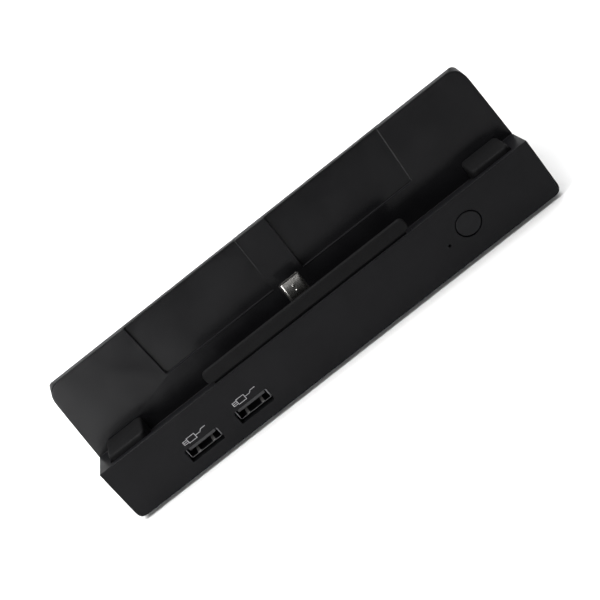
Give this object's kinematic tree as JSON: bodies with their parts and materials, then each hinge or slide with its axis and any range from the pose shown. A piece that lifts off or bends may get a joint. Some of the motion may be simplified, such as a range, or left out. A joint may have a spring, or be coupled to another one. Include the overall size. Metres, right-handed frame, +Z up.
{
  "type": "game console docking station",
  "caption": "Low black docking station with a leaning backrest, a plug rising from a padded trough, front sockets and a round push button.",
  "frame": {"origin": "middle of the footprint, on the surface that the feet stand on", "axes": "+X to the right of a person facing the front, -Y the front face, +Z up"},
  "size_m": [0.1832, 0.052, 0.0515],
  "materials": {
    "shell_plastic": "black moulded ABS, satin with a fine spark-eroded grain",
    "pad_rubber": "soft black silicone rubber, matt",
    "foot_rubber": "black rubber, matt",
    "plug_metal": "nickel-plated deep-drawn steel, bright",
    "socket_metal": "nickel-plated stamped steel",
    "screw_steel": "black zinc-plated steel",
    "spring_steel": "plain spring steel",
    "socket_plastic": "white glass-filled nylon",
    "insulator_plastic": "black glass-filled nylon",
    "board_laminate": "green solder mask over glass laminate",
    "chip_resin": "moulded epoxy",
    "lamp_resin": "clear epoxy",
    "pipe_acrylic": "clear acrylic",
    "ribbon_film": "amber polyimide film"
  },
  "bodies": {
    "dock": {"front_housing": "shell_plastic", "rear_cover": "shell_plastic", "bottom_cover": "shell_plastic", "front_pad": "pad_rubber", "rest_pad_left": "pad_rubber", "rest_pad_right": "pad_rubber", "foot_front_left": "foot_rubber", "foot_front_right": "foot_rubber", "foot_rear_left": "foot_rubber", "foot_rear_right": "foot_rubber", "cover_screw_1": "screw_steel", "cover_screw_2": "screw_steel", "cover_screw_3": "screw_steel", "cover_screw_4": "screw_steel", "cover_screw_5": "screw_steel", "carrier_pin": "spring_steel", "centring_spring_front": "spring_steel", "centring_spring_rear": "spring_steel", "ribbon_cable": "ribbon_film", "front_socket_left_shell": "socket_metal", "front_socket_left_tongue": "insulator_plastic", "front_socket_right_shell": "socket_metal", "front_socket_right_tongue": "insulator_plastic", "switch_body": "chip_resin", "front_board": "board_laminate", "indicator_lamp": "lamp_resin", "light_pipe": "pipe_acrylic", "main_board": "board_laminate", "video_port_shell": "socket_metal", "video_port_tongue": "insulator_plastic", "power_port_shell": "socket_metal", "power_port_tongue": "insulator_plastic", "ribbon_connector": "socket_plastic", "hub_chip": "chip_resin", "video_chip": "chip_resin", "power_chip": "chip_resin", "power_inductor": "chip_resin", "crystal_can": "socket_metal", "video_shield": "socket_metal", "capacitor_left": "spring_steel", "capacitor_right": "spring_steel", "board_screw_1": "screw_steel", "board_screw_2": "screw_steel", "board_screw_3": "screw_steel", "board_screw_4": "screw_steel"},
    "plug_unit": {"plug_shell": "plug_metal", "plug_insulator": "insulator_plastic", "plug_carrier": "shell_plastic", "plug_board": "board_laminate"},
    "power_button": {"button_cap": "shell_plastic"},
    "switch_stem": {"switch_plunger": "insulator_plastic"}
  },
  "joints": [
    {"name": "button_press", "type": "slide", "parent": "dock", "child": "power_button", "axis": [0, 1, 0], "range_m": [0, 0.0006], "stiffness_N_per_m": 600},
    {"name": "switch_stem_press", "type": "slide", "parent": "dock", "child": "switch_stem", "axis": [0, 1, 0], "range_m": [0, 0.0006]},
    {"name": "plug_rock", "type": "hinge", "parent": "dock", "child": "plug_unit", "pos_m": [0, -0.01789, 0.01491], "axis": [1, 0, 0], "range_deg": [-3, 3], "stiffness_Nm_per_rad": 0.4}
  ],
  "couplings": [
    {"joint": "switch_stem_press", "follows": "button_press", "ratio": 1}
  ]
}
